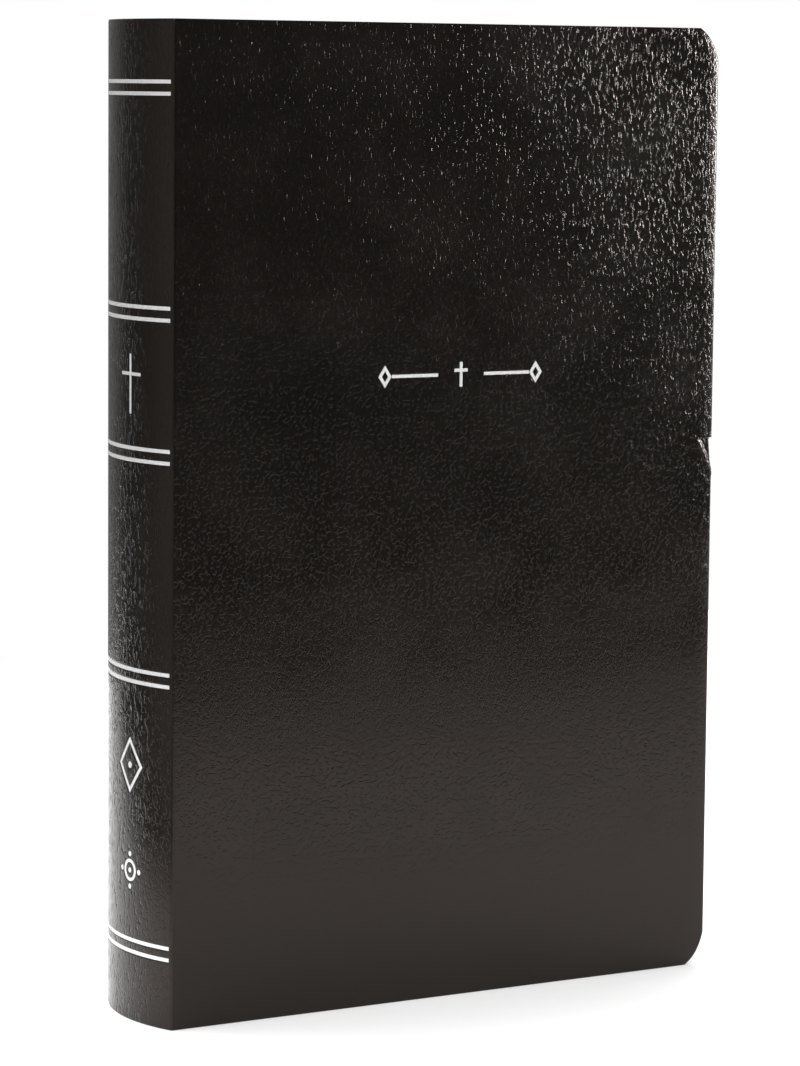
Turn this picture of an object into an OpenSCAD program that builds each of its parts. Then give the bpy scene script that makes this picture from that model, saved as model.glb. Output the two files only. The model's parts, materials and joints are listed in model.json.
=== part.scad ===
// Soft-cover bible with a rounded spine, standing on its tail.
// X runs from the spine (-X) to the fore-edge (+X), Y from the front cover (-Y) to the back
// cover (+Y), and Z from the tail to the head. The origin is the middle of the tail.

/* [Book] */
// Height from tail to head
book_h = 213; // [180:0.5:240]
// Cover width from the spine fold to the fore-edge
cover_w = 136.7; // [110:0.1:170]
// Thickness of the closed book
book_t = 31; // [28:0.5:36]
// How far the rounded spine stands out past its two folds
spine_bulge = 3.4; // [2.4:0.1:4.4]
// Radius of the trimmed corners at the fore-edge
corner_r = 7.5; // [4:0.5:15]

/* [Cover] */
// Thickness of the leather-look cover sheet
cover_t = 0.8; // [0.6:0.1:1]
// Width of the glued strip between the spine fold and the score that a cover opens on
hinge_w = 6; // [5:0.5:9]
// Thickness of the endpaper leaf glued inside each cover
pastedown_t = 0.15; // [0.1:0.05:0.2]

/* [Leaves] */
// Thickness of the free endpaper leaf
flyleaf_t = 0.2; // [0.15:0.05:0.25]
// How far the flyleaf's hinge lies beyond the cover's score
flyleaf_step = 1.75; // [1.5:0.25:3]
// Sections of thin paper in each half of the text block
half_sections = 12; // [6:1:18]
// Loose leaves that fan out where the book opens at its middle
loose_leaves = 4; // [2:1:6]
// Thickness of one loose leaf
leaf_t = 0.15; // [0.1:0.05:0.2]

/* [Spine] */
// Thickness of the gauze lining glued inside the spine
lining_t = 0.2; // [0.1:0.1:0.4]
// Thickness of the glue that holds the backs of the sections
glue_t = 0.5; // [0.4:0.1:0.8]

/* [Foil] */
// Height of the middle of each pair of spine rules above the tail
rule_pairs = [16.3, 74.8, 122, 151.9, 198.8];
// Distance between the two rules of a pair, centre to centre
rule_pitch = 2.5; // [2:0.1:4]
// Width of one rule
rule_w = 0.8; // [0.4:0.1:1.2]
// How far the rules stop short of the cover faces
rule_end = 0.9; // [0.9:0.1:3]
// Depth to which the foil is pressed into the leather
foil_t = 0.1; // [0.05:0.05:0.2]
// Stroke of the stamped ornaments
stroke = 0.7; // [0.5:0.1:1]
// Height of the middle of the front ornament above the tail
front_ornament_z = 137.5; // [60:0.5:150]
// Distance of the middle of the front ornament from the spine fold
front_ornament_x = 70; // [50:0.5:90]
// Length of the front ornament
front_ornament_w = 41.4; // [30:0.1:60]
// Height of the front ornament
front_ornament_h = 5.4; // [4:0.1:9]
// Sideways place of the spine ornaments, towards the back cover
spine_ornament_y = -2; // [-3:0.5:3]

/* [Clearance] */
// Gap between pieces that move on each other
move_gap = 0.1; // [0.05:0.05:0.15]

/* [Hidden] */
$fn = 96;
half_t = book_t / 2;
total_w = cover_w + spine_bulge;
x_crest = -total_w / 2;
x_fold = x_crest + spine_bulge;
x_fore = total_w / 2;
spine_r = (half_t * half_t + spine_bulge * spine_bulge) / (2 * spine_bulge);
spine_cx = x_crest + spine_r;
lining_r = spine_r - cover_t;
glue_r = lining_r - lining_t;
back_r = glue_r - glue_t;
x_score = x_fold + hinge_w;
x_fly = x_score + flyleaf_step;
y_cover = half_t - cover_t;
y_paste = y_cover - pastedown_t;
y_fly_out = y_paste - move_gap;
y_fly_in = y_fly_out - flyleaf_t;
y_block = y_fly_in - move_gap;
leaf_pitch = leaf_t + move_gap;
y_middle = (loose_leaves * leaf_pitch + move_gap) / 2;
section_t = (y_block - y_middle) / half_sections;
last_section = 2 * half_sections;
leaf_w = x_fore - back_x(y_block);

leather_colour = [0.09, 0.085, 0.08];
paper_colour = [0.93, 0.91, 0.86];
endpaper_colour = [0.9, 0.89, 0.86];
foil_colour = [0.87, 0.87, 0.88];
gauze_colour = [0.85, 0.82, 0.74];
glue_colour = [0.9, 0.86, 0.72];

function two_digits(i) = i < 10 ? str("0", i) : str(i);
function section_name(i) = str("section_", two_digits(i));
function leaf_name(i) = str("middle_leaf_", i);
// Where the back of the text block lies at a distance y from the middle of the spine
function back_x(y) = spine_cx - sqrt(back_r * back_r - y * y);
// Sections and loose leaves count from the front cover
function section_front(i) = (i <= half_sections ? -y_block : 2 * y_middle - y_block)
    + (i - 1) * section_t;
function leaf_front(i) = move_gap - y_middle + (i - 1) * leaf_pitch;

// Outline of a sheet: square at the spine, rounded at the two fore-edge corners
module sheet_outline(w) {
    square([w - corner_r, book_h]);
    translate([0, corner_r]) square([w, book_h - 2 * corner_r]);
    for (z = [corner_r, book_h - corner_r])
        translate([w - corner_r, z]) circle(corner_r);
}

// Sheet from x0 to x1 that lies between y0 and y1
module sheet(x0, x1, y0, y1) {
    translate([x0, y1, 0]) rotate([90, 0, 0]) linear_extrude(y1 - y0) sheet_outline(x1 - x0);
}

// Mirror image of the back half gives the front half, and the other way round
module front() {
    mirror([0, 1, 0]) children();
}

// Curved layer of the back half of the spine, between two radii
module spine_layer(r_out, r_in) {
    intersection() {
        difference() {
            translate([spine_cx, 0, 0]) cylinder(r = r_out, h = book_h);
            translate([spine_cx, 0, -1]) cylinder(r = r_in, h = book_h + 2);
        }
        translate([x_crest - 1, move_gap, -1])
            cube([spine_r, y_cover - move_gap, book_h + 2]);
    }
}

// Flat sheet between two faces whose left edge follows a layer of the spine
module strip_behind_spine(r, x1, y0, y1) {
    intersection() {
        translate([spine_cx, 0, 0]) cylinder(r = r, h = book_h);
        translate([x_crest, y0, 0]) cube([x1 - x_crest, y1 - y0, book_h]);
    }
}

module cover_panel() {
    sheet(x_score + move_gap, x_fore, y_cover, half_t);
}

module hinge_strip() {
    strip_behind_spine(spine_r, x_score, y_cover, half_t);
}

module pastedown() {
    sheet(x_score + 2 * move_gap, x_fore, y_paste, y_cover);
}

module flyleaf() {
    sheet(x_fly, x_fore, y_fly_in, y_fly_out);
}

module flyleaf_stub() {
    strip_behind_spine(back_r, x_fly - move_gap, y_fly_in, y_fly_out);
}

// Stack of leaves from y0 to y1, placed behind its own stretch of the rounded spine
module leaves(y0, y1) {
    x0 = back_x(max(abs(y0), abs(y1)));
    sheet(x0, x0 + leaf_w, y0, y1);
}

// Latin cross of a given height, middle at the origin
module cross_outline(h) {
    square([stroke, h], center = true);
    translate([0, h / 6]) square([h * 0.62, stroke], center = true);
}

module lozenge(w, h) {
    polygon([[w / 2, 0], [0, h / 2], [-w / 2, 0], [0, -h / 2]]);
}

// Open lozenge whose frame is one stroke wide
module lozenge_frame(w, h) {
    frame_w = stroke * sqrt(w * w + h * h);
    difference() {
        lozenge(w, h);
        lozenge(w - 2 * frame_w / h, h - 2 * frame_w / w);
    }
}

// Ring with four dots round it
module rosette_outline(r) {
    difference() {
        circle(r);
        circle(r - stroke);
    }
    circle(stroke * 0.8);
    for (a = [0 : 90 : 270])
        rotate(a) translate([r + stroke * 1.6, 0]) circle(stroke * 0.8);
}

// Cross between two rules that end in lozenges
module front_ornament_outline() {
    cross_outline(front_ornament_h);
    for (side = [-1, 1]) {
        translate([side * front_ornament_w * 0.28, 0])
            square([front_ornament_w * 0.28, stroke], center = true);
        translate([side * (front_ornament_w - front_ornament_h * 0.6) / 2, 0])
            lozenge_frame(front_ornament_h * 0.6, front_ornament_h * 0.9);
    }
}

// Stamped shapes of the spine, drawn flat: first number towards the back cover, second is height
module spine_stamps() {
    translate([spine_ornament_y, 136.8]) cross_outline(12.6);
    translate([spine_ornament_y, 55.4]) {
        lozenge_frame(9.5, 12);
        circle(stroke);
    }
    translate([spine_ornament_y, 32.6]) rosette_outline(2.4);
    for (pair = rule_pairs, side = [-1, 1])
        translate([0, pair + side * rule_pitch / 2])
            square([book_t - 2 * rule_end, rule_w], center = true);
}

// Block that holds every stamped shape on one half of the spine; side is 1 for the back half
module spine_stamp_block(side) {
    intersection() {
        translate([x_crest - 1, 0, 0]) rotate([90, 0, 90])
            linear_extrude(spine_bulge + 2) spine_stamps();
        translate([x_crest - 2, side > 0 ? move_gap : -y_cover, 0])
            cube([spine_r, y_cover - move_gap, book_h]);
    }
}

// Foil of one half of the spine, as thick as its groove and level with the leather
module spine_foil(side) {
    intersection() {
        difference() {
            translate([spine_cx, 0, 0]) cylinder(r = spine_r, h = book_h);
            translate([spine_cx, 0, -1]) cylinder(r = spine_r - foil_t, h = book_h + 2);
        }
        spine_stamp_block(side);
    }
}

module front_ornament_solid(depth) {
    translate([x_fold + front_ornament_x, -half_t + depth, front_ornament_z])
        rotate([90, 0, 0]) linear_extrude(depth) front_ornament_outline();
}

module front_cover() {
    color(leather_colour) difference() {
        front() cover_panel();
        translate([0, -foil_t, 0]) front_ornament_solid(2 * foil_t);
    }
}

module back_cover() {
    color(leather_colour) cover_panel();
}

module spine_cover_front() {
    color(leather_colour) difference() {
        front() spine_layer(spine_r, lining_r);
        spine_foil(-1);
    }
}

module spine_cover_back() {
    color(leather_colour) difference() {
        spine_layer(spine_r, lining_r);
        spine_foil(1);
    }
}

front_cover();
color(leather_colour) front() hinge_strip();  // front_hinge_strip
color(endpaper_colour) front() pastedown();  // front_pastedown
color(endpaper_colour) front() flyleaf_stub();  // front_flyleaf_stub
color(endpaper_colour) front() flyleaf();  // front_flyleaf
back_cover();
color(leather_colour) hinge_strip();  // back_hinge_strip
color(endpaper_colour) pastedown();  // back_pastedown
color(endpaper_colour) flyleaf_stub();  // back_flyleaf_stub
color(endpaper_colour) flyleaf();  // back_flyleaf
spine_cover_front();
spine_cover_back();
color(gauze_colour) front() spine_layer(lining_r, glue_r);  // spine_lining_front
color(gauze_colour) spine_layer(lining_r, glue_r);  // spine_lining_back
color(glue_colour) front() spine_layer(glue_r, back_r);  // spine_glue_front
color(glue_colour) spine_layer(glue_r, back_r);  // spine_glue_back
for (i = [1 : last_section])
    color(paper_colour) leaves(section_front(i), section_front(i) + section_t);
for (i = [1 : loose_leaves])
    color(paper_colour) leaves(leaf_front(i), leaf_front(i) + leaf_t);
color(foil_colour) front_ornament_solid(foil_t);  // front_foil_ornament
color(foil_colour) spine_foil(-1);  // spine_foil_front
color(foil_colour) spine_foil(1);  // spine_foil_back
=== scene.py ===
"""Looks of the soft-cover bible: leather-look cover, foil, paper and binding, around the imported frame."""

import json
import math
import random

import bmesh
import bpy
import numpy as np
from mathutils import Matrix, Vector, noise


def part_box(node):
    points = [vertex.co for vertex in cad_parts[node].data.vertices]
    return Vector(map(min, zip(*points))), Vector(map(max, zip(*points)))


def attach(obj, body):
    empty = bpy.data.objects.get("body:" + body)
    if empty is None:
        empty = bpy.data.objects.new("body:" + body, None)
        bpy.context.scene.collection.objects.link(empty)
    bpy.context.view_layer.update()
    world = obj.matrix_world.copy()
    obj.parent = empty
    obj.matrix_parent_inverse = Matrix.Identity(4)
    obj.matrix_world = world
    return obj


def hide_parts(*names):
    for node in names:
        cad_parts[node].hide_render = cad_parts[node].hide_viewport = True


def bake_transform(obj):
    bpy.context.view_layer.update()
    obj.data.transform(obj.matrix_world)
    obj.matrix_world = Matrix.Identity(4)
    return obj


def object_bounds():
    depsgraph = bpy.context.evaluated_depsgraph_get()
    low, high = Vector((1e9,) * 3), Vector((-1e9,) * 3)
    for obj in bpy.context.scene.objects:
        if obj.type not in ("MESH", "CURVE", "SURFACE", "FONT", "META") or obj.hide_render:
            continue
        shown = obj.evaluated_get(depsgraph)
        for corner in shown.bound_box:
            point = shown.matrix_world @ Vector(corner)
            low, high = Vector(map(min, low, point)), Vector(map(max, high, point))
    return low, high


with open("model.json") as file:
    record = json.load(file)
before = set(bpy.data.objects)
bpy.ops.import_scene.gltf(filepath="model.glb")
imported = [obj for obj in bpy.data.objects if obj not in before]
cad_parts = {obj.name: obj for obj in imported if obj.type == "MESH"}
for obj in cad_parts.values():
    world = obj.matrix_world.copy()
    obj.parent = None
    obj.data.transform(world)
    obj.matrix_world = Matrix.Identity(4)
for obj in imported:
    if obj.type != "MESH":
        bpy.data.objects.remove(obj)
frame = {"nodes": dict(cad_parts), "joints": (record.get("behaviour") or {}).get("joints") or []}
cad_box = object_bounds()

MM = 0.001                      # the frame's unit is the metre
HAIR = 0.01 * MM                # gap that keeps two faces from lying in one place
HINGE_W = 6.0 * MM              # glued strip between a spine fold and its score
BINDING_T = 1.5 * MM            # leather, gauze and glue behind the leaves
LINING_IN = 1.0 * MM            # leather and gauze alone
SECTIONS = 24                   # of the text block

# ---------------------------------------------------------------- sizes, from the frame
hinge_at = {j["name"]: Vector(j["pos_m"]) for j in frame["joints"]}
x_crest = hinge_at["book_open"].x               # outermost line of the spine
x_score = hinge_at["front_cover_open"].x        # line along which a cover turns
x_fly = hinge_at["front_flyleaf_turn"].x        # line along which a flyleaf turns
half_t = -hinge_at["front_cover_open"].y        # half of the book's thickness
book_h = cad_box[1].z
x_fore = cad_box[1].x
x_fold = x_score - HINGE_W                      # edge between the spine and a cover
spine_bulge = x_fold - x_crest
spine_r = (half_t**2 + spine_bulge**2) / (2 * spine_bulge)
spine_cx = x_crest + spine_r                    # axis of the spine's curve
cover_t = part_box("back_cover")[1].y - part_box("back_cover")[0].y
leaf_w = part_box("section_12")[1].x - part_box("section_12")[0].x

# ---------------------------------------------------------------- sizes that only the looks have
CORNER_W = 5.0 * MM             # trimmed fore-edge corners, along the head and the tail
CORNER_H = 7.2 * MM             # and along the fore-edge
CORNER_FLAT = 0.5               # 0 cuts a quarter circle, and more a flatter arc
CORNER_START = 0.15 * MM        # where a corner's curve starts, so that no face has zero width
SPINE_TRIM = 0.15 * MM          # how far gauze and glue end from the head and the tail
LEAF_SETBACK = 0.8 * MM         # how far the covers reach past the leaves
SEAM_GAP = 0.03 * MM            # between two pieces of the cover sheet
MITRE_REACH = 3.0 * MM          # from the fold, of the mitre on a cover's inner face
GROOVE = 0.09 * MM              # depth of the stamping
FOIL_TOP = 0.03 * MM            # depth of the foil's face below the leather
STROKE = 0.7 * MM               # line width of the ornaments
GUTTER_BEND = 8.0 * MM          # how far from the crest the leaves bend
GUTTER_TILT = math.radians(60)  # direction in which that distance is measured, from X
LEAF_HALF_T = 0.03 * MM         # half of a loose leaf's thickness
LEAF_SHARES = (0.8, 0.6, 0.6, 0.8)          # how far each one turns from its half, of the opening
PLATES = 4                      # stacks of leaves that show in each section's edge
ENDPAPER_SETBACK = 0.4 * MM     # how far a cover reaches past its endpapers at the fore-edge
ENDPAPER_TRIM = 0.1 * MM        # and at the head and the tail
SHARP = math.radians(35)        # steeper edges than this are shaded sharp

# Depth and width of the sheet's rounded edges
FORE_ROLL = (0.46 * MM, 3.6 * MM)
RIM_ROUND = (0.12 * MM, 0.45 * MM)
FOLD_ROUND = (0.16 * MM, 0.6 * MM)

# The stamping, in millimetres, with its heights above the tail
RULE_PAIRS = [16.3, 74.8, 122.0, 151.9, 198.8]
RULE_PITCH = 2.5                            # between the two rules of a pair
RULE_W = 0.8
RULE_LENGTH = 29.2
SPINE_ORNAMENT_Y = -2.0                     # sideways place of the spine's three ornaments
SPINE_CROSS = (136.8, 12.6)                 # middle, height
SPINE_LOZENGE = (55.4, 9.5, 12.0)           # middle, width, height
SPINE_ROSETTE = (32.6, 2.4)                 # middle, radius
FRONT_ORNAMENT = (70.0, 137.5, 41.4, 5.4)   # middle from the fold and the tail, length, height
ORNAMENT_ROWS = ((129.5, 144.0), (28.0, 62.0))  # stretches of the spine that hold ornaments
STAMP_WALL = (-0.05, 0.22)                  # start and end of a recess's wall, from its outline

# The grey bars on the pages, in millimetres
LINE_PITCH = 3.0
COLUMNS = ((15.0, 66.0), (70.0, 121.0))     # from the spine
COLUMN_ENDS = (13.0, 196.0)                 # from the tail

DENT_Z = 121.0 * MM             # top of the dent in the front cover's fore-edge
DENT_DOWN = 7.0 * MM            # how far down it goes
DENT_IN = 3.8 * MM              # how far in from the fore-edge
DENT_PUSH = 0.45 * MM           # how deep it is pressed in
DENT_SHIFT = 0.9 * MM           # how far the fore-edge is pushed back
DENT_LIP = 0.2 * MM             # raised fold along the dent's lower side
DENT_CRUMPLE = 0.11 * MM        # unevenness of that fold
DENT_LUMP = 0.6 * MM            # size of its lumps
DENT_REACH = 4.5 * MM           # how deep into the leaves the dent goes
DENT_STEP = 0.7 * MM            # between grid lines of the leaves there
DENT_ROWS = (DENT_Z - DENT_DOWN, DENT_Z + 0.6 * MM, DENT_STEP)

# The camera, fitted to the photo's outline
CAMERA_TURN = (30.33, 6.64, -0.54)          # yaw, pitch and roll, in degrees
CAMERA_AWAY = (-1.7108, -3.365, 0.9401)     # from the foot of the front fold, in book heights
CAMERA_LENS = 130.6                         # for a sensor 36 mm wide


def smooth(low, high, x):
    """Smooth step from 0 at low to 1 at high."""
    t = np.clip((x - low) / (high - low), 0.0, 1.0)
    return t * t * (3 - 2 * t)


def rounding(distance, depth, width):
    """Drop of a rounded edge, at a distance from it."""
    return depth * np.clip(1 - distance / width, 0, 1) ** 2


def stops(start, end, step, fine=()):
    """Positions from start to end, closer together in the fine ranges (low, high, step)."""
    found = [start]
    while found[-1] < end:
        at = found[-1]
        here = min([step] + [s for low, high, s in fine if low - step < at < high])
        found.append(at + here if end - at - here > here / 2 else end)
    return found


def arc_x(y, inset=0.0):
    """Where a layer of the rounded spine lies, at a distance y from the book's middle plane."""
    r = spine_r - inset
    return spine_cx - np.sqrt(r * r - y * y)


def corner_stops(low, high, step, fine=()):
    """Heights from low to high, with close rows round the two trimmed corners."""
    turn = np.radians(np.linspace(0, 90, 11))
    rise = CORNER_H - CORNER_H * np.cos(turn)
    middle = stops(low + CORNER_H, high - CORNER_H, step, fine)[1:-1]
    return np.array([*(low + rise), *middle, *(high - rise[::-1])])


def corner_reach(z, low, high):
    """How far a row at height z reaches past the start of the corners' curve."""
    d = np.clip(np.minimum(z - low, high - z), CORNER_START, CORNER_H) / CORNER_H
    centre = 1 + CORNER_FLAT
    return CORNER_W * (np.sqrt(CORNER_FLAT**2 + centre**2 - (centre - d) ** 2) - CORNER_FLAT)


def bumps(x, z, seed):
    """Noise at the places x, z, each in units of the bumps' size."""
    return np.vectorize(lambda a, b: noise.noise(Vector((a, b, seed))))(x, z)


def dent_band(inward, down, width, fade):
    """Weight of a band just past the dent's lower side, where inward + down is 1.

    fade is the pair of values of down between which the band ends.
    """
    band = np.exp(-(((inward + down - 1.12) / width) ** 2))
    return band * smooth(-0.05, 0.1, down) * smooth(*fade, down)


def dented(grid):
    """Moves points of the front cover, or of the leaves under it, into the dent.

    The dent is a triangle under DENT_Z. Inside it the sheet is pressed in and back, and along its
    lower side the sheet stands up in an uneven fold.
    """
    x, y, z = grid[..., 0], grid[..., 1], grid[..., 2]
    inward = (x_fore - x) / DENT_IN
    down = (DENT_Z - z) / DENT_DOWN
    inside = np.clip(1 - inward - np.clip(down, 0, None), 0, 1) * smooth(-0.04, 0.01, down)
    sunk = DENT_PUSH * smooth(0.0, 0.3, inside) * (1 - 0.8 * inside)
    lip = DENT_LIP * dent_band(inward, down, 0.13, (1.5, 1.15))
    lumps = bumps(x / DENT_LUMP, z / DENT_LUMP, 3.1)
    crumple = DENT_CRUMPLE * dent_band(inward, down, 0.25, (1.8, 1.2)) * lumps
    depth = np.clip(1 - (y + half_t) / DENT_REACH, 0, 1)
    moved = grid.copy()
    moved[..., 1] += (sunk - lip + crumple) * depth
    moved[..., 0] -= DENT_SHIFT * inside * depth
    return moved


# ---------------------------------------------------------------- stamped shapes, in millimetres
def bar(cx, cz, w, h, cuts=1):
    """Upright rectangle as faces side by side."""
    xs = np.linspace(cx - w / 2, cx + w / 2, cuts + 1)
    faces = [
        [(a, cz - h / 2), (b, cz - h / 2), (b, cz + h / 2), (a, cz + h / 2)]
        for a, b in zip(xs, xs[1:])
    ]

    def distance(x, z):
        qx, qz = np.abs(x - cx) - w / 2, np.abs(z - cz) - h / 2
        outside = np.hypot(np.maximum(qx, 0), np.maximum(qz, 0))
        return outside + np.minimum(np.maximum(qx, qz), 0)

    return faces, [distance]


def cross(cx, cz, h):
    """Latin cross, its arms a sixth of its height above the middle."""
    s = STROKE / MM
    span = 0.62 * h
    arm_z = cz + h / 6
    arm_w = (span - s) / 2
    parts = [
        bar(cx, arm_z, s, s),
        bar(cx - (s + arm_w) / 2, arm_z, arm_w, s, 4),
        bar(cx + (s + arm_w) / 2, arm_z, arm_w, s, 4),
        bar(cx, (arm_z + s / 2 + cz + h / 2) / 2, s, cz + h / 2 - arm_z - s / 2),
        bar(cx, (arm_z - s / 2 + cz - h / 2) / 2, s, arm_z - s / 2 - cz + h / 2),
    ]
    return join(parts)


def lozenge(cx, cz, w, h):
    """Open lozenge with mitred corners."""
    s = STROKE / MM
    a, b = w / 2, h / 2
    thick = s * math.hypot(a, b)
    ratio = 1 - thick / (a * b)
    turns = [(1, 0), (0, 1), (-1, 0), (0, -1), (1, 0)]
    outer = [np.array([cx + i * a, cz + j * b]) for i, j in turns]
    inner = [np.array([cx + i * a * ratio, cz + j * b * ratio]) for i, j in turns]
    faces = []
    cuts = np.linspace(0, 1, 9)
    for k in range(4):
        for t, u in zip(cuts, cuts[1:]):
            faces.append(
                [
                    outer[k] + (outer[k + 1] - outer[k]) * t,
                    outer[k] + (outer[k + 1] - outer[k]) * u,
                    inner[k] + (inner[k + 1] - inner[k]) * u,
                    inner[k] + (inner[k + 1] - inner[k]) * t,
                ]
            )

    def distance(x, z):
        edge = (np.abs(x - cx) * b + np.abs(z - cz) * a - a * b) / math.hypot(a, b)
        return np.abs(edge + s / 2) - s / 2

    return faces, [distance]


def ring(cx, cz, r):
    """Circle line with the outer radius r."""
    s = STROKE / MM
    turns = np.linspace(0, 2 * math.pi, 33)
    faces = []
    for a, b in zip(turns, turns[1:]):
        faces.append(
            [
                (cx + q * math.cos(t), cz + q * math.sin(t))
                for q, t in ((r, a), (r, b), (r - s, b), (r - s, a))
            ]
        )

    def distance(x, z):
        return np.abs(np.hypot(x - cx, z - cz) - r + s / 2) - s / 2

    return faces, [distance]


def dot(cx, cz, r):
    """Filled circle."""
    turns = np.linspace(0, 2 * math.pi, 17)[:-1]
    faces = [[(cx + r * math.cos(t), cz + r * math.sin(t)) for t in turns]]

    def distance(x, z):
        return np.hypot(x - cx, z - cz) - r

    return faces, [distance]


def join(parts):
    """One shape from several: their faces, and their distance functions."""
    return sum((p[0] for p in parts), []), sum((p[1] for p in parts), [])


def rosette(cx, cz, r):
    """Ring round a dot, with four dots outside it."""
    s = STROKE / MM
    out = r + 1.6 * s
    places = [(0, 0), (out, 0), (-out, 0), (0, out), (0, -out)]
    return join([ring(cx, cz, r)] + [dot(cx + i, cz + j, 0.8 * s) for i, j in places])


def front_ornament(cx, cz, w, h):
    """Cross between two rules that end in lozenges."""
    s = STROKE / MM
    rule_w = 0.28 * w
    end_w, end_h = 0.6 * h, 0.9 * h
    parts = [cross(cx, cz, h)]
    for side in (-1, 1):
        parts.append(bar(cx + side * rule_w, cz, rule_w, s, 10))
        parts.append(lozenge(cx + side * (w - end_w) / 2, cz, end_w, end_h))
    return join(parts)


def dotted_lozenge(cx, cz, w, h):
    return join([lozenge(cx, cz, w, h), dot(cx, cz, STROKE / MM)])


def rules():
    """Five pairs of rules across the spine."""
    places = [pair + side * RULE_PITCH / 2 for pair in RULE_PAIRS for side in (-1, 1)]
    return join([bar(0, z, RULE_LENGTH, RULE_W, 60) for z in places])


STAMPS = {
    "foil_spine_rules": rules(),
    "foil_spine_cross": cross(SPINE_ORNAMENT_Y, *SPINE_CROSS),
    "foil_spine_lozenge": dotted_lozenge(SPINE_ORNAMENT_Y, *SPINE_LOZENGE),
    "foil_spine_rosette": rosette(SPINE_ORNAMENT_Y, *SPINE_ROSETTE),
    "foil_front_ornament": front_ornament(*FRONT_ORNAMENT),
}


def groove(names, x, z):
    """Depth of the stamping at flat places x, z, in metres."""
    found = [distance(x / MM, z / MM) for n in names for distance in STAMPS[n][1]]
    return GROOVE * (1 - smooth(*STAMP_WALL, np.minimum.reduce(found)))


# ---------------------------------------------------------------- shader nodes
def new_material(name):
    """A material, its node tree and its Principled node."""
    mat = bpy.data.materials.new(name)
    mat.use_nodes = True
    return mat, mat.node_tree, mat.node_tree.nodes["Principled BSDF"]


def put(tree, kind, sockets=None, **settings):
    """Adds a node. A socket's value is another node's output, or a plain value."""
    n = tree.nodes.new("ShaderNode" + kind)
    for k, v in settings.items():
        setattr(n, k, v)
    for k, v in (sockets or {}).items():
        if isinstance(v, bpy.types.NodeSocket):
            tree.links.new(v, n.inputs[k])
        else:
            n.inputs[k].default_value = v
    return n


def calc(tree, operation, a, b=0.0):
    return put(tree, "Math", {0: a, 1: b}, operation=operation).outputs[0]


def between(tree, value, low, high):
    """1 where a value lies between low and high, and 0 elsewhere."""
    above = calc(tree, "GREATER_THAN", value, low)
    return calc(tree, "MULTIPLY", above, calc(tree, "LESS_THAN", value, high))


def weighed(tree, a, b, share):
    """Sum of a and b, in which a weighs share and b the rest."""
    first = calc(tree, "MULTIPLY", a, share)
    return calc(tree, "ADD", first, calc(tree, "MULTIPLY", b, 1 - share))


def ramp(tree, value, low, high, to_low=0.0, to_high=1.0):
    """Smooth step of a value between low and high."""
    n = put(
        tree,
        "MapRange",
        {"Value": value, "From Min": low, "From Max": high, "To Min": to_low, "To Max": to_high},
        interpolation_type="SMOOTHSTEP",
    )
    return n.outputs["Result"]


def mix(tree, factor, a, b):
    """Colour a where factor is 0, and b where it is 1."""
    n = put(tree, "Mix", {"Factor": factor}, data_type="RGBA")
    for socket, colour in (("A", a), ("B", b)):
        target = [i for i in n.inputs if i.name == socket and i.type == "RGBA"][0]
        if isinstance(colour, bpy.types.NodeSocket):
            tree.links.new(colour, target)
        else:
            target.default_value = (*colour, 1)
    return [o for o in n.outputs if o.type == "RGBA"][0]


def flat_mm(tree):
    """The piece's own flat coordinates, in millimetres."""
    uv = put(tree, "UVMap", uv_map="flat").outputs[0]
    return put(tree, "Mapping", {"Vector": uv, "Scale": (1 / MM, 1 / MM, 1)}).outputs[0]


def body_mm(tree):
    """A rigid CAD piece's own coordinates, in millimetres."""
    place = put(tree, "TexCoord").outputs["Object"]
    return put(tree, "Mapping", {"Vector": place, "Scale": (1 / MM,) * 3}).outputs[0]


def stretch(tree, vector, scale):
    return put(tree, "Mapping", {"Vector": vector, "Scale": scale}).outputs[0]


def grain_noise(tree, vector, scale, detail=2.0, rough=0.5):
    sockets = {"Vector": vector, "Scale": scale, "Detail": detail, "Roughness": rough}
    return put(tree, "TexNoise", sockets, noise_dimensions="2D").outputs["Fac"]


def cell_edges(tree, vector, scale):
    """Distance to the nearest edge of a pattern of cells."""
    kind = {"feature": "DISTANCE_TO_EDGE", "voronoi_dimensions": "2D"}
    sockets = {"Vector": vector, "Scale": scale}
    return put(tree, "TexVoronoi", sockets, **kind).outputs["Distance"]


def warped(tree, vector, scale, amount):
    """Coordinates pushed about by a slow noise, so that cells lose their straight edges."""
    sockets = {"Vector": vector, "Scale": scale, "Detail": 2.0}
    n = put(tree, "TexNoise", sockets, noise_dimensions="2D")
    off = put(tree, "VectorMath", {0: n.outputs["Color"], 1: (0.5, 0.5, 0.5)}, operation="SUBTRACT")
    far = put(tree, "VectorMath", {0: off.outputs[0], "Scale": amount}, operation="SCALE")
    return put(tree, "VectorMath", {0: vector, 1: far.outputs[0]}).outputs[0]


def bumped(tree, bsdf, height, strength, depth, invert=False):
    """Gives a material a relief; depth is in millimetres."""
    sockets = {"Height": height, "Strength": strength, "Distance": depth * MM}
    bump = put(tree, "Bump", sockets, invert=invert)
    tree.links.new(bump.outputs[0], bsdf.inputs["Normal"])


def fine_net(tree, place, bent, patches, netted):
    """Depth of a net of fine lines, which deepens between the two heights in netted."""
    lines = ramp(tree, cell_edges(tree, stretch(tree, bent, (1, 0.75, 1)), 1.1), 0.13, 0.0)
    rise = calc(tree, "ADD", place.outputs[1], calc(tree, "MULTIPLY", patches, 60.0))
    return calc(tree, "MULTIPLY", lines, ramp(tree, rise, *netted, 0.012, 0.028))


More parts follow.
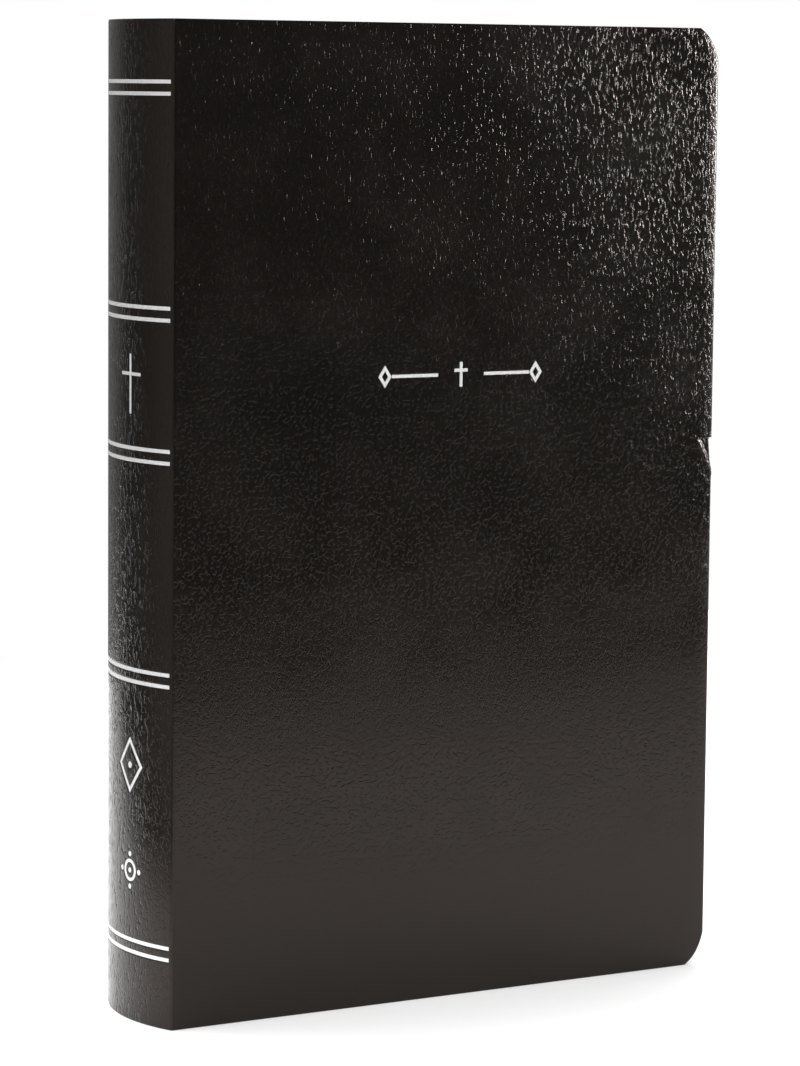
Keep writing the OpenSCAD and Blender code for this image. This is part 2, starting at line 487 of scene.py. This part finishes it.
def long_creases(tree, place, bent, patches, toward, patchy, creased, crease):
    """Depth of upright creases, which begin between the two limits in creased.

    toward and patchy weigh flat x, flat z and the patches into the value that creased is compared
    with. crease is how close together the creases are, and how deep.
    """
    ridges = grain_noise(tree, stretch(tree, bent, (1, 0.22, 1)), crease[0], 2.0, 0.55)
    lines = ramp(tree, calc(tree, "ABSOLUTE", calc(tree, "SUBTRACT", ridges, 0.5)), 0.055, 0.0)
    reach = calc(tree, "MULTIPLY", place.outputs[0], toward[0])
    reach = calc(tree, "ADD", reach, calc(tree, "MULTIPLY", place.outputs[1], toward[1]))
    reach = calc(tree, "ADD", reach, calc(tree, "MULTIPLY", patches, patchy))
    return calc(tree, "MULTIPLY", lines, ramp(tree, reach, *creased, 0.0, crease[1]))


def leather(name, grey, netted, **creasing):
    """Black leather-look sheet: a net of fine lines, long creases in part of it, and pebbles.

    grey is the base colour's two ends.
    """
    mat, tree, bsdf = new_material(name)
    mm = flat_mm(tree)
    place = put(tree, "SeparateXYZ", {0: mm})
    bent = warped(tree, mm, 0.5, 1.2)
    patches = grain_noise(tree, mm, 0.045)
    net = fine_net(tree, place, bent, patches, netted)
    depth = calc(tree, "ADD", net, long_creases(tree, place, bent, patches, **creasing))
    broken = ramp(tree, grain_noise(tree, stretch(tree, mm, (1, 0.5, 1)), 1.1, 1.0), 0.4, 0.58)
    depth = calc(tree, "MULTIPLY", depth, broken)
    pebbles = grain_noise(tree, stretch(tree, mm, (1, 0.6, 1)), 1.3)
    depth = calc(tree, "ADD", depth, calc(tree, "MULTIPLY", pebbles, 0.022))
    sockets = {"Height": depth, "Distance": MM, "Filter Width": 0.5}
    bump = put(tree, "Bump", sockets, invert=True)
    tree.links.new(bump.outputs[0], bsdf.inputs["Normal"])
    tone = grain_noise(tree, mm, 0.05, 3.0)
    warm = (1.0, 0.83, 0.71)
    base = mix(tree, tone, *([g * w for w in warm] for g in grey))
    tree.links.new(base, bsdf.inputs["Base Color"])
    tree.links.new(ramp(tree, tone, 0.3, 0.7, 0.17, 0.23), bsdf.inputs["Roughness"])
    bsdf.inputs["Specular IOR Level"].default_value = 0.27
    bsdf.inputs["Specular Tint"].default_value = (1.0, 0.86, 0.8, 1)
    return mat


def silver_foil():
    """Foil with a fine unevenness, a little worn."""
    mat, tree, bsdf = new_material("silver_foil")
    mm = flat_mm(tree)
    worn = grain_noise(tree, mm, 2.2, 4.0, 0.7)
    base = mix(tree, ramp(tree, worn, 0.25, 0.75), (0.69, 0.68, 0.68), (0.87, 0.86, 0.86))
    tree.links.new(base, bsdf.inputs["Base Color"])
    tree.links.new(ramp(tree, worn, 0.3, 0.7, 0.5, 0.34), bsdf.inputs["Roughness"])
    bumped(tree, bsdf, worn, 1.0, 0.02)
    bsdf.inputs["Metallic"].default_value = 0.3
    return mat


def paper_base(tree, mm, light, dark):
    """Thin paper: a slow change of tone and short fibres."""
    slow = grain_noise(tree, mm, 0.035, 2.0)
    fibres = grain_noise(tree, stretch(tree, mm, (1, 0.25, 1)), 2.4, 3.0, 0.65)
    tone = weighed(tree, slow, fibres, 0.6)
    return mix(tree, ramp(tree, tone, 0.3, 0.7), dark, light), fibres


def paper(name, printed):
    """Page face. printed adds two columns of grey lines, with no letters."""
    mat, tree, bsdf = new_material(name)
    mm = flat_mm(tree)
    base, fibres = paper_base(tree, mm, (0.73, 0.715, 0.67), (0.66, 0.64, 0.59))
    if printed:
        base = mix(tree, text_lines(tree, mm), base, (0.16, 0.155, 0.15))
    tree.links.new(base, bsdf.inputs["Base Color"])
    bsdf.inputs["Roughness"].default_value = 0.78
    bsdf.inputs["Specular IOR Level"].default_value = 0.3
    bumped(tree, bsdf, fibres, 0.6, 0.02)
    return mat


def text_lines(tree, mm):
    """Share of ink at a place on the page: grey bars in two columns, broken into words."""
    place = put(tree, "SeparateXYZ", {0: mm})
    x, z = place.outputs[0], place.outputs[1]
    line = calc(tree, "DIVIDE", z, LINE_PITCH)
    row = calc(tree, "FLOOR", line)
    part = calc(tree, "FRACT", line)
    ink = calc(tree, "MULTIPLY", ramp(tree, part, 0.28, 0.36), ramp(tree, part, 0.66, 0.58))
    words = put(tree, "CombineXYZ", {0: calc(tree, "MULTIPLY", x, 0.42), 1: row})
    gaps = grain_noise(tree, words.outputs[0], 1.9, 1.0)
    ink = calc(tree, "MULTIPLY", ink, ramp(tree, gaps, 0.36, 0.42))
    block = calc(tree, "FLOOR", calc(tree, "MULTIPLY", x, 1.6))
    blocks = put(tree, "CombineXYZ", {0: block, 1: row})
    shade = put(tree, "TexWhiteNoise", {0: blocks.outputs[0]}, noise_dimensions="2D")
    ink = calc(tree, "MULTIPLY", ink, ramp(tree, shade.outputs["Value"], 0.0, 1.0, 0.45, 1.0))
    inside = calc(tree, "ADD", *(between(tree, x, *column) for column in COLUMNS))
    inside = calc(tree, "MULTIPLY", inside, between(tree, z, *COLUMN_ENDS))
    return calc(tree, "MULTIPLY", ink, inside)


def page_edges():
    """Cut edges of the leaves: flat x runs through the stack."""
    mat, tree, bsdf = new_material("page_edges")
    mm = flat_mm(tree)
    hair = grain_noise(tree, stretch(tree, mm, (1, 0.02, 1)), 7.0, 3.0, 0.7)
    bands = grain_noise(tree, stretch(tree, mm, (1, 0.01, 1)), 1.3, 2.0)
    tone = weighed(tree, hair, bands, 0.65)
    base = mix(tree, ramp(tree, tone, 0.36, 0.62), (0.4, 0.385, 0.345), (0.68, 0.66, 0.61))
    tree.links.new(base, bsdf.inputs["Base Color"])
    bsdf.inputs["Roughness"].default_value = 0.85
    bumped(tree, bsdf, hair, 1.0, 0.06)
    return mat


def endpaper(name, coordinates):
    """Thicker paper, without print; coordinates is flat_mm or body_mm."""
    mat, tree, bsdf = new_material(name)
    base, fibres = paper_base(tree, coordinates(tree), (0.78, 0.765, 0.73), (0.72, 0.705, 0.67))
    tree.links.new(base, bsdf.inputs["Base Color"])
    bsdf.inputs["Roughness"].default_value = 0.7
    bumped(tree, bsdf, fibres, 0.7, 0.03)
    return mat


def spine_gauze():
    """Open weave: two sets of threads."""
    mat, tree, bsdf = new_material("spine_gauze")
    place = put(tree, "SeparateXYZ", {0: flat_mm(tree)})
    swings = [calc(tree, "SINE", calc(tree, "MULTIPLY", place.outputs[k], 4.2)) for k in (0, 1)]
    weave = calc(tree, "MINIMUM", *(calc(tree, "ABSOLUTE", wave) for wave in swings))
    base = mix(tree, ramp(tree, weave, 0.1, 0.6), (0.8, 0.76, 0.66), (0.55, 0.5, 0.4))
    tree.links.new(base, bsdf.inputs["Base Color"])
    bsdf.inputs["Roughness"].default_value = 0.9
    bumped(tree, bsdf, weave, 1.0, 0.08, invert=True)
    return mat


def spine_glue():
    """Dried glue, slightly lumpy."""
    mat, tree, bsdf = new_material("spine_glue")
    lumps = grain_noise(tree, flat_mm(tree), 0.9, 3.0)
    base = mix(tree, lumps, (0.72, 0.66, 0.5), (0.86, 0.81, 0.66))
    tree.links.new(base, bsdf.inputs["Base Color"])
    bsdf.inputs["Roughness"].default_value = 0.4
    bumped(tree, bsdf, lumps, 1.0, 0.1)
    return mat


# ---------------------------------------------------------------- meshes
def add_object(name, mesh, *materials):
    obj = bpy.data.objects.new(name, mesh)
    bpy.context.scene.collection.objects.link(obj)
    for m in materials:
        mesh.materials.append(m)
    return obj


def sheet_faces(rows, cols, first):
    """Faces of one closed sheet, as vertex numbers: both its grids together, and its rim."""
    grid = first + np.arange(rows * cols).reshape(rows, cols)
    under = grid + rows * cols
    corners = [
        np.stack([g[:-1, :-1], g[:-1, 1:], g[1:, 1:], g[1:, :-1]], -1) for g in (grid, under)
    ]
    near = np.concatenate([grid[0, :-1], grid[:-1, -1], grid[-1, :0:-1], grid[:0:-1, 0]])
    far = np.roll(near, -1)
    rim = np.stack([near, far, far + rows * cols, near + rows * cols], -1)
    return np.concatenate(corners).reshape(-1, 4), rim


def closed_sheets(name, sheets, materials):
    """One object of closed sheets. Each sheet is (outer grid, inner grid, flat coordinates).

    The second material, if there is one, goes on the sheets' rims. On a rim flat x runs through
    the sheet.
    """
    verts, faces, on_rim, flats = [], [], [], []
    for outer, inner, flat in sheets:
        first = sum(len(v) for v in verts)
        verts.append(np.concatenate([outer.reshape(-1, 3), inner.reshape(-1, 3)]))
        flats.append(np.concatenate([flat.reshape(-1, 2)] * 2))
        for kind, found in enumerate(sheet_faces(*outer.shape[:2], first)):
            faces.append(found)
            on_rim.append(np.full(len(found), kind))
    verts, faces, on_rim, flats = map(np.concatenate, (verts, faces, on_rim, flats))
    mesh = bpy.data.meshes.new(name)
    mesh.from_pydata(verts.tolist(), [], faces.tolist())
    outward(mesh)
    mesh.polygons.foreach_set("material_index", on_rim if len(materials) > 1 else on_rim * 0)
    corner = np.zeros(len(mesh.loops), int)
    mesh.loops.foreach_get("vertex_index", corner)
    uv = flats[corner]
    edge = np.repeat(on_rim, 4) == 1
    uv[edge] = np.stack([verts[corner, 1], verts[corner, 0] + verts[corner, 2]], -1)[edge]
    mesh.uv_layers.new(name="flat").data.foreach_set("uv", uv.ravel())
    finish_mesh(mesh)
    return add_object(name, mesh, *materials)


def outward(mesh):
    """Turns every face outwards."""
    bm = bmesh.new()
    bm.from_mesh(mesh)
    bmesh.ops.recalc_face_normals(bm, faces=bm.faces)
    bm.to_mesh(mesh)
    bm.free()


def finish_mesh(mesh):
    mesh.shade_smooth()
    mesh.set_sharp_from_angle(angle=SHARP)
    mesh.update()


def foil_piece(name, place, material):
    """Stamped shapes as one closed thin piece; place maps flat x, z and a depth to the frame."""
    bm = bmesh.new()
    for face in STAMPS[name][0]:
        bm.faces.new([bm.verts.new((x * MM, 0.0, z * MM)) for x, z in face])
    bmesh.ops.remove_doubles(bm, verts=bm.verts, dist=1e-6)
    made = bmesh.ops.extrude_face_region(bm, geom=bm.faces[:])
    top = [v for v in made["geom"] if isinstance(v, bmesh.types.BMVert)]
    for v in top:
        v.co.y = 1.0
    flat = bm.loops.layers.uv.new("flat")
    for f in bm.faces:
        for corner in f.loops:
            corner[flat].uv = (corner.vert.co.x, corner.vert.co.z)
    for v in bm.verts:
        v.co = place(v.co.x, v.co.z, FOIL_TOP if v.co.y > 0.5 else GROOVE + HAIR)
    bmesh.ops.recalc_face_normals(bm, faces=bm.faces)
    mesh = bpy.data.meshes.new(name)
    bm.to_mesh(mesh)
    bm.free()
    finish_mesh(mesh)
    return add_object(name, mesh, material)


# ---------------------------------------------------------------- the cover sheet
def waves(x, z, seed):
    """Slow unevenness of a limp cover, from 0 to 1."""
    return np.clip(0.5 + 0.5 * bumps(x * 22, z * 15, seed), 0, 1)


def cover_drop(x, z, side):
    """How far a cover's face lies inside the plane of the CAD cover."""
    edge = x_fold + corner_edge(z)
    to_fore = edge - x
    to_rim = np.minimum(np.minimum(z, book_h - z), 2 * to_fore)
    roll = rounding(to_fore, *FORE_ROLL) * (0.35 + 0.65 * z / book_h)
    rim = rounding(to_rim, *RIM_ROUND)
    fold = rounding(x - x_fold, *FOLD_ROUND)
    return 2 * HAIR + 0.1 * MM * waves(x, z, side * 7.3) + roll + rim + fold


def corner_edge(z):
    """Distance from the fold to the fore-edge at a height z."""
    return x_fore - CORNER_W - x_fold + corner_reach(z, 0.0, book_h)


def rounded_grid(x1, xs, zs, low=0.0, high=book_h):
    """x and z of a sheet's grid up to x1, squeezed round the trimmed corners."""
    x, z = np.meshgrid(xs, zs)
    bend = x1 - CORNER_W
    squeezed = bend + (x - bend) * corner_reach(z, low, high) / CORNER_W
    return np.where(x > bend, squeezed, x), z


def cover_stops(front):
    """x and z of a cover's grid lines, close together at its edges, at the foil and at the dent."""
    fine_x = [(x_fold, x_fold + 1.2 * MM, 0.2 * MM), (x_fore - 1.5 * MM, x_fore, 0.25 * MM)]
    fine_z = []
    if front:
        ox, oz, ow, oh = (v * MM for v in FRONT_ORNAMENT)
        fine_x.append((x_fold + ox - ow / 2 - MM, x_fold + ox + ow / 2 + MM, 0.28 * MM))
        fine_x.append((x_fore - DENT_IN - MM, x_fore, 0.22 * MM))
        fine_z.append((oz - oh / 2 - MM, oz + oh / 2 + MM, 0.28 * MM))
        fine_z.append((DENT_Z - DENT_DOWN - MM, DENT_Z + MM, 0.22 * MM))
    xs = stops(x_fold + SEAM_GAP, x_fore, 2.2 * MM, fine_x)
    zs = corner_stops(0.0, book_h, 1.8 * MM, fine_z)
    return xs, np.unique([*zs, CORNER_START, book_h - CORNER_START])


def cover_piece(name, side, material):
    """Cover panel with its hinge strip, one continuous sheet; side is -1 for the front."""
    front = side < 0
    x, z = rounded_grid(x_fore, *cover_stops(front))
    drop = cover_drop(x, z, side)
    if front:
        drop = drop + groove(["foil_front_ornament"], x - x_fold, z)
    outer = np.stack([x, side * (half_t - drop), z], -1)
    mitre = arc_x(half_t - cover_t, cover_t) - x_fold
    x_in = x + mitre * np.clip(1 - (x - x_fold) / MITRE_REACH, 0, 1)
    inner = np.stack([x_in, np.full_like(x, side * (half_t - cover_t)), z], -1)
    if front:
        outer, inner = dented(outer), dented(inner)
    flat = np.stack([x - x_fold, z], -1)
    return closed_sheets(name, [(outer, inner, flat)], [material])


def skin_rows():
    """Heights of the spine skin's rows, close together at the foil and at both ends."""
    fine = [(p * MM - 3.2 * MM, p * MM + 3.2 * MM, 0.2 * MM) for p in RULE_PAIRS]
    fine += [(low * MM, high * MM, 0.3 * MM) for low, high in ORNAMENT_ROWS]
    fine += [(0, 0.6 * MM, 0.15 * MM), (book_h - 0.6 * MM, book_h, 0.15 * MM)]
    return stops(0.0, book_h, 1.6 * MM, fine)


def spine_piece(name, out, inn, material, stamped=()):
    """Curved layer of the spine from fold to fold, between two insets from its outer face.

    stamped names the foil pieces that lie in it, and only the outermost layer has them.
    """
    end_in = half_t - cover_t - SEAM_GAP
    end = half_t - SEAM_GAP if stamped else end_in
    share = stops(-1.0, 1.0, 0.022, [(-1.0, -0.96, 0.007), (0.96, 1.0, 0.007)])
    rows = skin_rows() if stamped else stops(SPINE_TRIM, book_h - SPINE_TRIM, 12 * MM)
    s, z = np.meshgrid(share, rows)
    turn = s * math.asin(end / (spine_r - out))
    drop = np.full_like(s, out)
    if stamped:
        y = (spine_r - out) * np.sin(turn)
        rim = rounding(np.minimum(z, book_h - z), *RIM_ROUND)
        fold = rounding((1 - np.abs(s)) * half_t, *FOLD_ROUND)
        drop = drop + rim + fold + HAIR + groove(stamped, y, z)
    turn_in = s * math.asin(end_in / (spine_r - inn))
    outer = np.stack([*round_spine(spine_r - drop, turn), z], -1)
    inner = np.stack([*round_spine(spine_r - inn, turn_in), z], -1)
    flat = np.stack([turn * spine_r, z], -1)
    return closed_sheets(name, [(outer, inner, flat)], [material])


def round_spine(r, turn):
    """x and y at a distance r from the axis of the spine's curve."""
    return spine_cx - r * np.cos(turn), r * np.sin(turn)


def on_spine(y, z, depth):
    """Place on the spine's skin; flat y is the distance from the book's middle plane."""
    return Vector((*round_spine(spine_r - depth - HAIR, math.asin(y / spine_r)), z))


def on_front(x, z, depth):
    """Place on the front cover's skin; flat x starts at the fold."""
    drop = float(cover_drop(np.array([x_fold + x]), np.array([z]), -1)[0])
    return Vector((x_fold + x, -half_t + drop + depth, z))


# ---------------------------------------------------------------- leaves
def leaf_grid(y, trim, gutter_step, fine_z=()):
    """Grid of one leaf at depth y: square at the spine, rounded at the fore-edge."""
    x0 = float(arc_x(y, BINDING_T)) + 2 * HAIR
    x1 = x0 + leaf_w - LEAF_SETBACK - trim
    low, high = trim, book_h - trim
    fine_x = [(x0, x0 + 20 * MM, gutter_step)]
    if fine_z:
        fine_x.append((x1 - 5 * MM, x1, DENT_STEP))
    xs = stops(x0, x1, 8 * MM, fine_x)
    zs = corner_stops(low, high, 30 * MM, fine_z)
    x, z = rounded_grid(x1, xs, zs, low, high)
    return x, z, x0


def leaf_stack(name, y0, y1, plates, materials, gutter_step=1.6 * MM, gap=0.012 * MM):
    """Stack of leaves between two depths, as a few closed plates that end unevenly."""
    sheets = []
    fine_z = [DENT_ROWS] if y0 < DENT_REACH - half_t else []
    for k in range(plates):
        a = y0 + (y1 - y0) * k / plates + gap / 2
        b = y0 + (y1 - y0) * (k + 1) / plates - gap / 2
        x, z, x0 = leaf_grid((a + b) / 2, random.uniform(0.0, 0.09) * MM, gutter_step, fine_z)
        faces = [np.stack([x, np.full_like(x, y), z], -1) for y in (a, b)]
        if fine_z:
            faces = [dented(f) for f in faces]
        sheets.append((*faces, np.stack([x - x0, z], -1)))
    return closed_sheets(name, sheets, materials)


def endpaper_piece(node, side, x0, material):
    """Pastedown or flyleaf, as thin as its CAD solid."""
    thin = [corner.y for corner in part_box(node)]
    x1 = x_fore - ENDPAPER_SETBACK
    low, high = ENDPAPER_TRIM, book_h - ENDPAPER_TRIM
    xs = stops(x0, x1, 4 * MM, [(x0, x0 + 30 * MM, MM), (x_fore - 6 * MM, x_fore, DENT_STEP)])
    zs = corner_stops(low, high, 25 * MM, [DENT_ROWS] if side < 0 else [])
    x, z = rounded_grid(x1, xs, zs, low, high)
    faces = [np.stack([x, np.full_like(x, y), z], -1) for y in thin]
    if side < 0:
        faces = [dented(f) for f in faces]
    return closed_sheets(node + "_sheet", [(*faces, np.stack([x - x_fold, z], -1))], [material])


# ---------------------------------------------------------------- camera, lights and floor
def make_camera():
    """The photo's view: from the left of the front cover and just below the head."""
    yaw, pitch, roll = (math.radians(a) for a in CAMERA_TURN)
    corner = Vector((x_fold, -half_t, 0.0))
    data = bpy.data.cameras.new("camera")
    data.sensor_width = 36.0
    data.lens = CAMERA_LENS
    cam = bpy.data.objects.new("camera", data)
    turn = Matrix.Rotation(-yaw, 4, "Z") @ Matrix.Rotation(-pitch, 4, "X")
    turn = turn @ Matrix.Rotation(roll, 4, "Y") @ Matrix.Rotation(math.pi / 2, 4, "X")
    away = Vector(CAMERA_AWAY) * book_h
    cam.matrix_world = Matrix.Translation(corner + away) @ turn
    bpy.context.scene.collection.objects.link(cam)
    bpy.context.scene.camera = cam


def area_light(name, at, towards, width, height, power, only=()):
    """Softbox. only names the pieces that it lights, if it doesn't light everything."""
    data = bpy.data.lights.new(name, "AREA")
    data.shape = "RECTANGLE"
    data.size, data.size_y = width, height
    data.energy = power
    light = bpy.data.objects.new(name, data)
    light.location = at
    light.rotation_euler = (Vector(towards) - Vector(at)).to_track_quat("-Z", "Y").to_euler()
    bpy.context.scene.collection.objects.link(light)
    if only:
        lit = bpy.data.collections.new(name + "_lights")
        for piece in only:
            lit.objects.link(bpy.data.objects[piece])
        light.light_linking.receiver_collection = lit


def make_world():
    """Dim studio with bright walls far to the left and behind; the camera sees plain white."""
    world = bpy.data.worlds.new("studio")
    bpy.context.scene.world = world
    world.use_nodes = True
    tree = world.node_tree
    back = tree.nodes["Background"]
    way = put(tree, "SeparateXYZ", {0: put(tree, "TexCoord").outputs["Generated"]})
    around = ramp(tree, way.outputs[1], -0.25, 0.15, 0.03, 0.08)
    left = ramp(tree, way.outputs[0], -0.8, -0.98, 0.0, 0.3)
    behind = ramp(tree, way.outputs[1], 0.88, 0.98, 0.0, 0.22)
    glow = calc(tree, "ADD", calc(tree, "ADD", around, left), behind)
    seen = put(tree, "LightPath").outputs["Is Camera Ray"]
    colour = mix(tree, seen, mix(tree, glow, (0, 0, 0), (1, 1, 1)), (1, 1, 1))
    tree.links.new(colour, back.inputs["Color"])


def make_floor():
    """Plain pale floor, a hair below the book."""
    mesh = bpy.data.meshes.new("floor")
    left, right, near, far = -0.2, 1.3, -0.38, 0.48
    corners = [(left, near, 0), (right, near, 0), (right, far, 0), (left, far, 0)]
    mesh.from_pydata(corners, [], [(0, 1, 2, 3)])
    mat, tree, bsdf = new_material("floor")
    place = put(tree, "TexCoord").outputs["Object"]
    tone = put(tree, "TexNoise", {"Vector": place, "Scale": 6.0, "Detail": 3.0}).outputs["Fac"]
    tree.links.new(mix(tree, tone, (0.86, 0.86, 0.86), (0.9, 0.9, 0.9)), bsdf.inputs["Base Color"])
    bsdf.inputs["Roughness"].default_value = 0.6
    floor = add_object("floor", mesh, mat)
    floor.location.z = -0.05 * MM


def make_lights():
    """Two large softboxes, one for the floor, and two that only pick out the leather's grain."""
    middle = (0.0, 0.0, book_h / 2)
    upper = (0.04, 0.0, book_h * 0.8)
    area_light("key", (-1.15, -1.55, 1.55), middle, 1.2, 1.2, 62.0)
    area_light("top", (0.0, 1.5, 2.1), (0, 0.9, 0), 3.0, 2.6, 75.0)
    area_light("floor_wash", (0, 0.45, 2.2), (0, 0.45, 0), 3.0, 2.0, 72.0, ["floor"])
    area_light("front_glint", (0.54, -0.19, 0.24), upper, 0.09, 0.2, 5.0, ["front_cover_leather"])
    area_light("back_glint", (-0.5, 0.24, 0.28), upper, 0.12, 0.25, 5.0, ["back_cover_leather"])


# ---------------------------------------------------------------- the object
random.seed(7)
crest = Vector((x_crest, 0, 0))
cover_leather = leather(
    "cover_leather",
    toward=(1.0, 0.5),
    patchy=60.0,
    creased=(178.0, 285.0),
    netted=(50.0, 130.0),
    crease=(0.75, 0.08),
    grey=(0.004, 0.006),
)
# Same leather as the cover, but with a base colour about twice as light: painted light that lifts the spine
# where the lamps leave it dark.
spine_leather_painted_lighter = leather(
    "spine_leather_painted_lighter",
    toward=(1.0, 0.0),
    patchy=8.0,
    creased=(-8.0, 4.0),
    netted=(-50.0, -20.0),
    crease=(0.5, 0.15),
    grey=(0.008, 0.013),
)
foil = silver_foil()
page_print = paper("page_print", True)
page_blank = paper("page_blank", False)
edges = page_edges()
endpaper_flat = endpaper("endpaper", flat_mm)
endpaper_body = endpaper("endpaper_stub", body_mm)


def make_spine():
    """Skin, gauze, glue and foil of the spine."""
    stamped = [n for n in STAMPS if "spine" in n]
    skin = spine_piece("spine_leather_painted_lighter", 0.0, cover_t, spine_leather_painted_lighter, stamped)
    gauze = spine_piece("spine_gauze", cover_t + HAIR, LINING_IN, spine_gauze())
    glue = spine_piece("spine_glue_layer", LINING_IN + HAIR, BINDING_T, spine_glue())
    stands_for = {
        skin: ("spine_cover_front", "spine_cover_back"),
        gauze: ("spine_lining_front", "spine_lining_back"),
        glue: ("spine_glue_front", "spine_glue_back"),
    }
    for n in stamped:
        piece = foil_piece(n, on_spine, foil)
        stands_for[piece] = ("spine_foil_front", "spine_foil_back")
    for piece, nodes in stands_for.items():
        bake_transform(piece)
        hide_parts(*nodes)


def make_cover(word, side):
    """Cover panel, the endpaper inside it and the flyleaf under it."""
    skin = cover_piece(word + "_cover_leather", side, cover_leather)
    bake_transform(skin)
    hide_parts(word + "_cover", word + "_hinge_strip")
    lining = endpaper_piece(word + "_pastedown", side, x_score + 0.2 * MM, endpaper_flat)
    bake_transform(lining)
    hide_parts(word + "_pastedown")
    leaf = endpaper_piece(word + "_flyleaf", side, x_fly + 0.05 * MM, endpaper_flat)
    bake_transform(leaf)
    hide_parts(word + "_flyleaf")
    stub = frame["nodes"][word + "_flyleaf_stub"].data
    stub.materials.clear()
    stub.materials.append(endpaper_body)


def make_front_ornament():
    ornament = foil_piece("foil_front_ornament", on_front, foil)
    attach(ornament, "front_cover")
    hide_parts("front_foil_ornament")


def make_sections():
    """The text block, one stack of leaves for each section."""
    last_front = SECTIONS // 2
    for i in range(1, SECTIONS + 1):
        node = f"section_{i:02d}"
        low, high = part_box(node)
        face = page_print if i in (last_front, last_front + 1) else page_blank
        piece = leaf_stack(f"pages_{i:02d}", low.y, high.y, PLATES, [face, edges])
        side = -1 if i <= last_front else 1
        reach = GUTTER_BEND * Vector((math.cos(GUTTER_TILT), side * math.sin(GUTTER_TILT), 0))
        start, end = crest + side * reach, crest - side * reach
        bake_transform(piece)
        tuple(start)
        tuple(end)
        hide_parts(node)


def make_leaves():
    """Loose leaves, each one thin stack."""
    for i, share in enumerate(LEAF_SHARES, 1):
        node = f"middle_leaf_{i}"
        low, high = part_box(node)
        middle = (low.y + high.y) / 2
        y0, y1 = middle - LEAF_HALF_T, middle + LEAF_HALF_T
        piece = leaf_stack(f"leaf_{i}", y0, y1, 1, [page_print, edges], 1.2 * MM, 0.0)
        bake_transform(piece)
        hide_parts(node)


make_camera()
make_spine()
make_cover("front", -1)
make_cover("back", 1)
make_front_ornament()
make_sections()
make_leaves()
make_floor()
make_world()
make_lights()
bpy.context.scene.view_settings.view_transform = "Standard"
